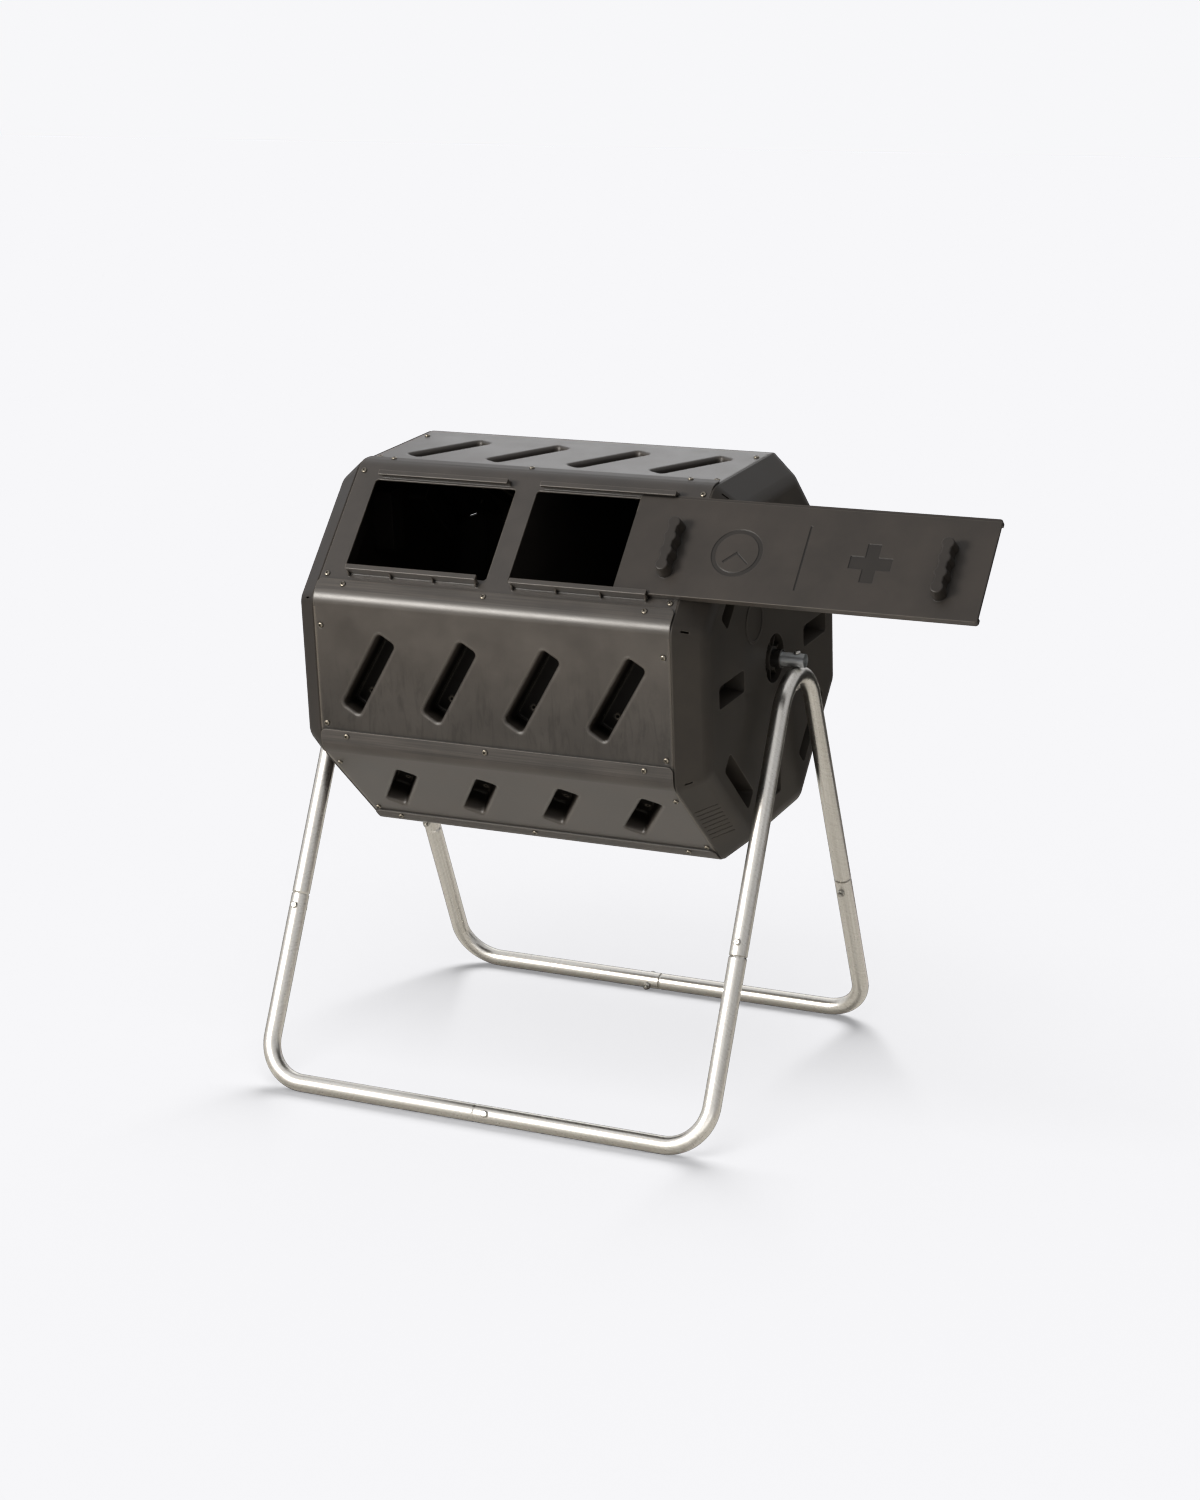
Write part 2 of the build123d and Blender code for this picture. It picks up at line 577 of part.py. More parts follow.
def end_dish():
    """The right-hand plate without its hub and screw holes."""
    bevel_inside = END_PLATE_WALL * sqrt(1 + bevel_slope ** 2)
    lip_start = panel_end + END_PLATE_GAP
    rim_start = panel_end - RIM_WIDTH
    rim_length = RIM_WIDTH + END_PLATE_GAP
    dish = bevelled_cap(0)
    dish += extrude(octagon_at(lip_start, FACE_APOTHEM, skirt_corner), END_PLATE_LIP)
    dish += extrude(octagon_at(rim_start, rim_apothem, LAP_BEND_RADIUS), rim_length)
    dish -= bevelled_cap(END_PLATE_WALL)
    dish -= extrude(octagon_at(lip_start, FACE_APOTHEM - bevel_inside, skirt_corner), END_PLATE_LIP)
    dish -= extrude(octagon_at(rim_start, rim_apothem - END_PLATE_WALL, LAP_BEND_RADIUS - END_PLATE_WALL),
                    rim_length)

    pockets = []
    for side in range(SIDE_COUNT):
        facing = side_normal(side)
        along = Vector(1, 0, 0).cross(facing)
        if side % 2:
            centre = facing * (END_FACE_APOTHEM - EDGE_POCKET_MARGIN - EDGE_POCKET_WIDTH / 2)
            skin, void = blind_pocket(EDGE_POCKET_LENGTH, EDGE_POCKET_WIDTH)
        else:
            centre = facing * (RADIAL_POCKET_START + RADIAL_POCKET_LENGTH / 2)
            skin, void = blind_pocket(RADIAL_POCKET_WIDTH, RADIAL_POCKET_LENGTH)
        place = Plane(origin=Vector(end_face_x, 0, 0) + centre, x_dir=along, z_dir=(1, 0, 0))
        pockets.append((place * skin, place * void))
    dish += [skin for skin, void in pockets]
    dish -= [void for skin, void in pockets]

    through = 8 * END_PLATE_WALL
    slot = Pos(bevel_start_x + CORNER_SLOT_INSET, 0, 0) * Box(
        CORNER_SLOT_LENGTH, CORNER_SLOT_WIDTH, 2 * FACE_APOTHEM, align=(Align.MIN, Align.CENTER, Align.MIN))
    slot = Pos(0, 0, END_FACE_APOTHEM) * slot
    dish -= [Rot((i + 0.5) * side_angle, 0, 0) * slot for i in range(SIDE_COUNT)]
    slit = Rot(0, 0, VENT_SLIT_SKEW) * Box(VENT_SLIT_LENGTH, VENT_SLIT_WIDTH, through)
    slit_row = (VENT_SLIT_COUNT - 1) / 2
    for node in ("front_lower_panel", "rear_lower_panel"):
        border = bevel_place(SIDE_NAMES.index(node))
        for i in range(VENT_SLIT_COUNT):
            along = VENT_SLIT_SHIFT + (i - slit_row) * VENT_SLIT_PITCH
            dish -= border * Pos(VENT_SLIT_INSET, along, 0) * slit

    ring_place = Vector(end_face_x, 0, 0) + side_normal(DOOR_SIDE) * BARE_RING_DISTANCE
    ring = Circle(BARE_RING_RADIUS) - Circle(BARE_RING_RADIUS - BARE_RING_WIDTH)
    return dish + extrude(Plane(origin=ring_place, z_dir=(1, 0, 0)) * ring, BARE_RING_HEIGHT)


def turned(radius, start_x, end_x):
    """A round piece on the axle's line between two places along it."""
    return extrude(Plane.YZ * Pos(0, 0, start_x) * Circle(radius), end_x - start_x)


def hub():
    """Round recess with a ribbed boss, without the bore for the bush."""
    boss_end_x = end_face_x - HUB_BOSS_DROP
    rib_end_x = end_face_x - HUB_RIB_DROP
    cup = turned(HUB_RECESS_RADIUS + END_PLATE_WALL, bush_inner_x, end_face_x)
    cup -= turned(HUB_RECESS_RADIUS, hub_floor_x, end_face_x)
    cup += turned(bush_radius + BUSH_FIT + HUB_BOSS_WALL, hub_floor_x, boss_end_x)
    rib_length = HUB_RECESS_RADIUS - bush_radius
    rib = Box(rib_end_x - hub_floor_x, HUB_RIB_WIDTH, rib_length, align=(Align.MIN, Align.CENTER, Align.MIN))
    for i in range(HUB_RIB_COUNT):
        rib_place = Pos(hub_floor_x, 0, bush_radius + BUSH_FIT + HUB_RIB_START)
        cup += Rot(i * 360 / HUB_RIB_COUNT, 0, 0) * rib_place * rib
    return cup


def end_plate(side_x):
    dish = end_dish() - turned(HUB_RECESS_RADIUS, end_face_x - END_PLATE_WALL, end_face_x + END_PLATE_WALL)
    dish += hub()
    dish -= turned(bush_radius + BUSH_FIT, bush_inner_x - END_PLATE_WALL, end_face_x + END_PLATE_WALL)
    if side_x < 0:
        dish = Rot(0, 0, 180) * dish
    pilot_hole = SCREW_DIAMETER + 2 * SCREW_BITE
    for side in range(SIDE_COUNT):
        upper = DOOR_PANEL_SCREW_HEIGHT if side == DOOR_SIDE else END_SCREW_HEIGHT
        for along in (-END_SCREW_HEIGHT, upper):
            dish -= screw_hole(side_place(side), side_x * end_screw_x, along, pilot_hole,
                               8 * (PANEL_WALL + END_PLATE_WALL))
    return dish


def hub_bush(side_x):
    """Plastic sleeve in the hub that runs on the axle, with a flange against the hub's back."""
    bush = turned(bush_radius, bush_inner_x - BUSH_FLANGE_HEIGHT, bush_end_x)
    bush += turned(bush_radius + BUSH_FLANGE_WIDTH, bush_inner_x - BUSH_FLANGE_HEIGHT, bush_inner_x)
    bush -= turned(AXLE_DIAMETER / 2 + RUNNING_CLEARANCE, 0, bush_end_x * 2)
    return Rot(0, 0, 180) * bush if side_x < 0 else bush


for side_x, hand in ((-1, "left"), (1, "right")):
    write(drum_place * end_plate(side_x), f"end_plate_{hand}")
    write(drum_place * hub_bush(side_x), f"hub_bush_{hand}")


# Divider: the wall between the two chambers, held at each seam by a tab under the middle screw

def divider():
    apothem = FACE_APOTHEM - PANEL_WALL - DIVIDER_FIT
    wall = extrude(octagon_at(-DIVIDER_WALL / 2, apothem, LAP_BEND_RADIUS), DIVIDER_WALL)
    wall -= turned(AXLE_DIAMETER / 2 + DIVIDER_AXLE_CLEARANCE, -DIVIDER_WALL, DIVIDER_WALL)
    for side in range(SIDE_COUNT):
        under = side_place(side, -PANEL_WALL - DIVIDER_FIT)
        tab = Box(DIVIDER_TAB_WIDTH, DIVIDER_TAB_LENGTH, DIVIDER_WALL,
                  align=(Align.MAX, Align.CENTER, Align.MAX))
        wall += under * Pos(0, seam_screw_along, 0) * tab
        wall -= screw_hole(under, MIDDLE_SCREW_SHIFT, seam_screw_along, SCREW_DIAMETER + 2 * SCREW_BITE,
                           4 * DIVIDER_WALL)
    return wall


write(drum_place * divider(), "divider")


# Screws of the drum

def tapping_screw():
    """Pan-head screw, its head's seat at the origin and its point down -Z."""
    seat = Align.CENTER, Align.CENTER, Align.MIN
    head = Cylinder(SCREW_HEAD_DIAMETER / 2, SCREW_HEAD_HEIGHT, align=seat)
    head = fillet(head.edges().group_by(Axis.Z)[-1], SCREW_HEAD_ROUND)
    for turn in (45, 135):
        recess = Box(SCREW_RECESS_LENGTH, SCREW_RECESS_WIDTH, 2 * SCREW_RECESS_DEPTH)
        head -= Pos(0, 0, SCREW_HEAD_HEIGHT) * Rot(0, 0, turn) * recess
    point = SCREW_DIAMETER
    shank = SCREW_LENGTH - point
    screw = head + Pos(0, 0, -shank) * Cylinder(SCREW_DIAMETER / 2, shank, align=seat)
    tip = Cone(SCREW_TIP_DIAMETER / 2, SCREW_DIAMETER / 2, point, align=seat)
    return screw + Pos(0, 0, -SCREW_LENGTH) * tip


screw = tapping_screw()
seam_screws = []
end_screws = []
for side in range(SIDE_COUNT):
    on_lap = drum_place * side_place(side, PANEL_WALL)
    seam_screws += [on_lap * Pos(x, seam_screw_along, 0) * screw for x in seam_screw_xs]
    on_face = drum_place * side_place(side)
    upper = DOOR_PANEL_SCREW_HEIGHT if side == DOOR_SIDE else END_SCREW_HEIGHT
    for x in (-end_screw_x, end_screw_x):
        end_screws += [on_face * Pos(x, along, 0) * screw for along in (-END_SCREW_HEIGHT, upper)]
write(Compound(children=seam_screws), "seam_screws")
write(Compound(children=end_screws), "end_screws")


# Sliding door, drawn out to the right until its left end is about to leave the right-hand rails

door_length = 2 * (mouth_end + DOOR_END_OVERLAP)
door_half_width = rail_inside - DOOR_SIDE_CLEARANCE
rail_end = mouth_middle + rail_length / 2
door_shift = rail_end - DOOR_HELD_LENGTH + door_length / 2


def handle():
    """Scalloped grip bar with four lobes, standing on Z = 0 with its length along Y."""
    spread = HANDLE_HEIGHT * tan(radians(HANDLE_DRAFT))
    span = (HANDLE_LOBES - 1) * HANDLE_LOBE_PITCH
    waist = Rectangle(HANDLE_WAIST_WIDTH, span)
    waist_foot = Rectangle(HANDLE_WAIST_WIDTH + 2 * spread, span)
    lobe = Cone(HANDLE_LOBE_RADIUS + spread, HANDLE_LOBE_RADIUS, HANDLE_HEIGHT,
                align=(Align.CENTER, Align.CENTER, Align.MIN))
    bar = loft([waist_foot, Pos(0, 0, HANDLE_HEIGHT) * waist])
    bar += [Pos(0, i * HANDLE_LOBE_PITCH - span / 2, 0) * lobe for i in range(HANDLE_LOBES)]
    creases = bar.edges().filter_by(lambda edge: abs(edge.center().Z - HANDLE_HEIGHT / 2) < HANDLE_HEIGHT / 4)
    bar = fillet(creases, HANDLE_WAIST_RADIUS)
    return fillet(bar.edges().group_by(Axis.Z)[-1], HANDLE_EDGE_RADIUS)


def bar_mark(length, width, angle):
    """Flat bar that starts at the origin and runs out at an angle, for an engraving."""
    bar = Pos(length / 2, 0, 0) * Box(length + width, width, 2 * ENGRAVING_DEPTH)
    return Rot(0, 0, angle) * bar


def clock_mark():
    ring = Circle(CLOCK_RADIUS) - Circle(CLOCK_RADIUS - CLOCK_RING_WIDTH)
    mark = extrude(ring, ENGRAVING_DEPTH, both=True)
    mark += bar_mark(CLOCK_HAND_LENGTH, CLOCK_HAND_WIDTH, CLOCK_HAND_ANGLE)
    return mark + bar_mark(CLOCK_FINE_HAND_LENGTH, CLOCK_FINE_HAND_WIDTH, CLOCK_FINE_HAND_ANGLE)


def plus_mark():
    arm = Box(PLUS_LENGTH, PLUS_ARM_WIDTH, 2 * ENGRAVING_DEPTH)
    return arm + Rot(0, 0, 90) * arm


def sliding_door():
    """Shallow tray, open below and at both ends, with a lower tongue along its upper edge, two grips, and a
    clock, a plus and a parting groove cut in."""
    low = Align.CENTER, Align.CENTER, Align.MIN
    door = extrude(RectangleRounded(door_length, 2 * door_half_width, DOOR_CORNER), DOOR_THICKNESS)
    hollow_width = 2 * (door_half_width - DOOR_RUNNER_WIDTH)
    door -= Box(2 * door_length, hollow_width, DOOR_THICKNESS - DOOR_WALL, align=low)
    over_tongue = Box(2 * door_length, 2 * DOOR_TONGUE_WIDTH, 2 * DOOR_TONGUE_STEP)
    door -= Pos(0, door_half_width, DOOR_THICKNESS) * over_tongue
    marks = Pos(0, -DOOR_MARK_DROP, DOOR_THICKNESS)
    door -= marks * Pos(-PICTOGRAM_DISTANCE, 0, 0) * clock_mark()
    door -= marks * Pos(PICTOGRAM_DISTANCE, 0, 0) * plus_mark()
    door -= marks * Box(PARTING_GROOVE_WIDTH, PARTING_GROOVE_LENGTH, 2 * ENGRAVING_DEPTH)
    grips = Pos(HANDLE_SHIFT, -HANDLE_DROP, DOOR_THICKNESS)
    for end in (-1, 1):
        door += grips * Pos(end * (door_length / 2 - HANDLE_END_DISTANCE), 0, 0) * handle()
    return door


door_place = drum_place * side_place(DOOR_SIDE, DOOR_LIFT) * Pos(door_shift, MOUTH_CENTRE, 0)
write(door_place * sliding_door(), "sliding_door")
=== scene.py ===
import math

import bpy
import numpy as np
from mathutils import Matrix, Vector

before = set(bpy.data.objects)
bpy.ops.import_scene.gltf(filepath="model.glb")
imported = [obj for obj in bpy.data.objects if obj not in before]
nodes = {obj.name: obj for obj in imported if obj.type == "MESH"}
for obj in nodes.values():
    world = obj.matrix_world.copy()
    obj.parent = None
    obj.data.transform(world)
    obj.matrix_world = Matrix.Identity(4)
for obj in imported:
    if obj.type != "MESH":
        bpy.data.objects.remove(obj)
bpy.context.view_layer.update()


# Stand tubes: two hairpins and four feet of 25.4 mm steel tube, galvanised before it was bent, then
# swaged and pushed together. The zinc is bright, with faint lines along the tube from drawing and finer
# marks across it from the bender; both are drawn coarser than they are, so that they show.
TUBES = ("hairpin_left", "hairpin_right",
         "foot_front_left", "foot_front_right", "foot_rear_left", "foot_rear_right")
LEG_LEAN = math.radians(24.88)
RAIL_UP_TO, LEG_FROM = 0.03, 0.06
LINE_WIDTH, LINE_LENGTH = 0.004, 0.25
MARK_SPACING = 0.0045
MARK_SHARE = 0.5
ZINC_GRAIN = 0.0025
ZINC_DARK, ZINC_LIGHT = "#bbb7af", "#dbd9d4"
DARK_AT, LIGHT_AT = 0.45, 1.05
ZINC_SMOOTH, ZINC_DULL = 0.26, 0.34
SKIN_HEIGHT, SKIN_STRENGTH = 0.0004, 0.025
NOISE_LOW, NOISE_HIGH = 0.3, 0.7


def linear(hex_colour):
    """An sRGB hex colour as linear RGBA."""
    shown = np.array([int(hex_colour[i:i + 2], 16) for i in (1, 3, 5)]) / 255
    low = shown / 12.92
    high = ((shown + 0.055) / 1.055) ** 2.4
    return (*np.where(shown <= 0.04045, low, high), 1.0)


def add(tree, kind, settings=None, sockets=None):
    """One shader node: its settings, and its sockets as values or as the outputs that feed them."""
    made = tree.nodes.new(kind)
    for key, value in (settings or {}).items():
        setattr(made, key, value)
    for key, value in (sockets or {}).items():
        if isinstance(value, bpy.types.NodeSocket):
            tree.links.new(value, made.inputs[key])
        else:
            made.inputs[key].default_value = value
    return made.outputs


def new_material(name):
    """An empty node material, its tree and its output node's surface socket."""
    material = bpy.data.materials.new(name)
    material.use_nodes = True
    tree = material.node_tree
    tree.nodes.clear()
    surface = tree.nodes.new("ShaderNodeOutputMaterial").inputs["Surface"]
    return material, tree, surface


def finish_node(node, material):
    """Gives every slot of a node's mesh this material."""
    slots = nodes[node].data.materials
    for i in range(len(slots)):
        slots[i] = material
    if not slots:
        slots.append(material)


def galvanised_tube():
    """Drawn tube in zinc: a bright metal with faint lines along it and finer marks across it.
    The length along a tube is z cos(lean) - |y| sin(lean) + |x|: down a leg, then in along a rail.
    Across it, a leg is read in x and |y| cos(lean) + z sin(lean), and a rail in y and z."""
    material, tree, surface = new_material("galvanised_tube")
    place = add(tree, "ShaderNodeTexCoord")["Object"]
    x, y, z = add(tree, "ShaderNodeSeparateXYZ", None, {0: place})
    x_part = add(tree, "ShaderNodeMath", {"operation": "ABSOLUTE"}, {0: x})[0]
    y_part = add(tree, "ShaderNodeMath", {"operation": "ABSOLUTE"}, {0: y})[0]
    fall = add(tree, "ShaderNodeMath", {"operation": "MULTIPLY_ADD"},
               {0: z, 1: math.cos(LEG_LEAN), 2: x_part})[0]
    along = add(tree, "ShaderNodeMath", {"operation": "MULTIPLY_ADD"},
                {0: y_part, 1: -math.sin(LEG_LEAN), 2: fall})[0]
    rise = add(tree, "ShaderNodeMath", {"operation": "MULTIPLY"},
               {0: z, 1: math.sin(LEG_LEAN)})[0]
    leg_side = add(tree, "ShaderNodeMath", {"operation": "MULTIPLY_ADD"},
                   {0: y_part, 1: math.cos(LEG_LEAN), 2: rise})[0]
    slow = add(tree, "ShaderNodeMath", {"operation": "MULTIPLY"},
               {0: along, 1: LINE_WIDTH / LINE_LENGTH})[0]
    leg_lines = add(tree, "ShaderNodeCombineXYZ", None, {0: x, 1: leg_side, 2: slow})[0]
    rail_lines = add(tree, "ShaderNodeCombineXYZ", None, {0: y, 1: z, 2: slow})[0]
    on_leg = add(tree, "ShaderNodeMapRange", {"interpolation_type": "SMOOTHSTEP"},
                 {"Value": z, "From Min": RAIL_UP_TO, "From Max": LEG_FROM})[0]
    line_place = add(tree, "ShaderNodeMix", {"data_type": "VECTOR"},
                     {0: on_leg, 4: rail_lines, 5: leg_lines})[1]
    lines = add(tree, "ShaderNodeTexNoise", None,
                {"Vector": line_place, "Scale": 1 / LINE_WIDTH, "Detail": 2.0, "Roughness": 0.6})[0]
    marks = add(tree, "ShaderNodeTexNoise", {"noise_dimensions": "1D"},
                {"W": along, "Scale": 1 / MARK_SPACING, "Detail": 3.0, "Roughness": 0.7})[0]
    grain = add(tree, "ShaderNodeTexNoise", None,
                {"Vector": place, "Scale": 1 / ZINC_GRAIN, "Detail": 3.0, "Roughness": 0.7})[0]
    tone = add(tree, "ShaderNodeMath", {"operation": "MULTIPLY_ADD"},
               {0: marks, 1: MARK_SHARE, 2: lines})[0]
    shade = add(tree, "ShaderNodeMapRange", None,
                {"Value": tone, "From Min": DARK_AT, "From Max": LIGHT_AT})[0]
    colour = add(tree, "ShaderNodeMix", {"data_type": "RGBA"},
                 {0: shade, 6: linear(ZINC_DARK), 7: linear(ZINC_LIGHT)})[2]
    roughness = add(tree, "ShaderNodeMapRange", None,
                    {"Value": grain, "From Min": NOISE_LOW, "From Max": NOISE_HIGH,
                     "To Min": ZINC_SMOOTH, "To Max": ZINC_DULL})[0]
    skin = add(tree, "ShaderNodeMath", {"operation": "ADD"}, {0: marks, 1: grain})[0]
    bump = add(tree, "ShaderNodeBump", None,
               {"Strength": SKIN_STRENGTH, "Distance": SKIN_HEIGHT, "Height": skin})[0]
    metal = add(tree, "ShaderNodeBsdfPrincipled", None,
                {"Base Color": colour, "Metallic": 1.0, "Roughness": roughness, "Normal": bump})[0]
    tree.links.new(metal, surface)
    return material


tube_zinc = galvanised_tube()
for tube in TUBES:
    finish_node(tube, tube_zinc)


# Axle, bolts, nuts and screws: plain steel, bright zinc plated in a barrel, so it is faintly grey and has
# small scuffs from the wrench and from each other. The zinc on the screws has dulled to a browner tone.
# Where surfaces close in, as in the recesses for the driver, painted shade darkens the colour.
SCUFF = 0.0025
RECESS_REACH = 0.003
RECESS_SHUT, RECESS_OPEN = 0.45, 0.9
RECESS_SHADE_TONE = 0.08
BORE_SHADE_TONE = 0.8


def plated_steel(name, light, dark, rough, recess_shade_tone=RECESS_SHADE_TONE):
    """Barrel-plated zinc on steel: scuffs a few mm long in tone and in gloss, from dark to light and from
    the low to the high end of rough. Where surfaces close in, painted shade takes the tone down to the
    recess tone."""
    material, tree, surface = new_material(name)
    place = add(tree, "ShaderNodeTexCoord")["Object"]
    scuffs = add(tree, "ShaderNodeTexNoise", None,
                 {"Vector": place, "Scale": 1 / SCUFF, "Detail": 3.0, "Roughness": 0.65})[0]
    colour = add(tree, "ShaderNodeMix", {"data_type": "RGBA"},
                 {0: scuffs, 6: linear(dark), 7: linear(light)})[2]
    # Painted shade: ambient occlusion darkens the colour where surfaces close in, such as driver
    # recesses.
    nook = add(tree, "ShaderNodeAmbientOcclusion", {"samples": 6}, {"Distance": RECESS_REACH})["AO"]
    recess_shade = add(tree, "ShaderNodeMapRange", None,
               {"Value": nook, "From Min": RECESS_SHUT, "From Max": RECESS_OPEN,
                "To Min": recess_shade_tone})[0]
    colour = add(tree, "ShaderNodeMix", {"data_type": "RGBA", "blend_type": "MULTIPLY"},
                 {0: 1.0, 6: colour, 7: recess_shade})[2]
    roughness = add(tree, "ShaderNodeMapRange", None,
                    {"Value": scuffs, "From Min": NOISE_LOW, "From Max": NOISE_HIGH,
                     "To Min": rough[0], "To Max": rough[1]})[0]
    metal = add(tree, "ShaderNodeBsdfPrincipled", None,
                {"Base Color": colour, "Metallic": 1.0, "Roughness": roughness})[0]
    tree.links.new(metal, surface)
    return material


# The axle takes a lighter painted shade where surfaces close in on it.
finish_node("axle", plated_steel("axle_zinc", light="#dcdedf", dark="#cfd2d4", rough=(0.34, 0.42),
                                 recess_shade_tone=BORE_SHADE_TONE))
bolt_zinc = plated_steel("bolt_zinc", light="#c6c4be", dark="#94918b", rough=(0.2, 0.38))
for fastener in ("axle_bolts", "axle_nuts", "frame_bolts", "frame_nuts"):
    finish_node(fastener, bolt_zinc)
screw_zinc = plated_steel("screw_zinc", light="#9d968a", dark="#665f54", rough=(0.22, 0.4))
for fastener in ("seam_screws", "end_screws"):
    finish_node(fastener, screw_zinc)


# Drum sides: eight panels injection moulded in recycled polypropylene, a satin charcoal with a warm cast.
# The mould leaves a fine grain, drawn coarser than it is so that it shows, and the flow of the melt faint
# darker wisps down each face. Panel edges are rounded by 1.6 mm and the pockets' lips by 7 mm.
SIDES = {"front_panel": 0, "door_panel": 1, "top_panel": 2, "rear_upper_panel": 3, "rear_panel": 4,
         "rear_lower_panel": 5, "bottom_panel": 6, "front_lower_panel": 7}
AXLE_HEIGHT = 0.642
DRUM_TURN = math.radians(4.8)
SIDE_ANGLE = math.radians(45)
FACE_HALF = 0.1
EDGE_ROUND = 0.0016
POCKET_LIP = 0.007
PLASTIC_IOR = 1.49
PANEL_GLOSS = 0.5
PANEL_ROUGH = (0.34, 0.42)
# The front's lower face is darkened by painted shade.
FRONT_LOOK = {"light": "#4b453f", "dark": "#37322d", "wisps": 0.4, "low_shade": 0.42}
OTHER_LOOK = {"light": "#443e39", "dark": "#312d29", "wisps": 0.08, "low_shade": 0.0}
CLOUD = 0.09
CLOUD_LOW, CLOUD_HIGH = 0.25, 0.75
WISP_WIDTH, WISP_LENGTH = 0.011, 0.06
WISP_LOW, WISP_HIGH = 0.48, 0.7
LOW_FACE_FROM, LOW_FACE_FULL = 0.07, -0.06
POCKET_REACH, POCKET_FADE = 0.269, 0.018
POCKET_SHADE_TONE = 0.12
LAP_FROM, LAP_FADE = 0.1195, 0.002
LAP_DULL = 0.16
STREAK_LENGTH, STREAK_WIDTH = 0.15, 0.002
STREAK_LOW, STREAK_HIGH = 0.35, 0.65
STREAK_DARK, STREAK_LIGHT = 0.55, 1.1
NOOK = 0.006
NOOK_SHUT, NOOK_OPEN = 0.4, 0.93
NOOK_SHADE_TONE = 0.25
CUT_MARGIN, CUT_SHADE = 0.0003, 0.45
GRIP_START, GRIP_SHADE = 0.002, 0.3
EDGE_HIGHLIGHT_COLOUR = "#8f867a"
EDGE_HIGHLIGHT_LEVEL = 0.5
HIGHLIGHT_STARTS_AT, HIGHLIGHT_FULL_AT = 0.99, 0.85
HIGHLIGHT_SHUT, HIGHLIGHT_OPEN = 0.7, 0.95
GRAIN = 0.0032
GRAIN_HEIGHT, GRAIN_STRENGTH = 0.0006, 0.12


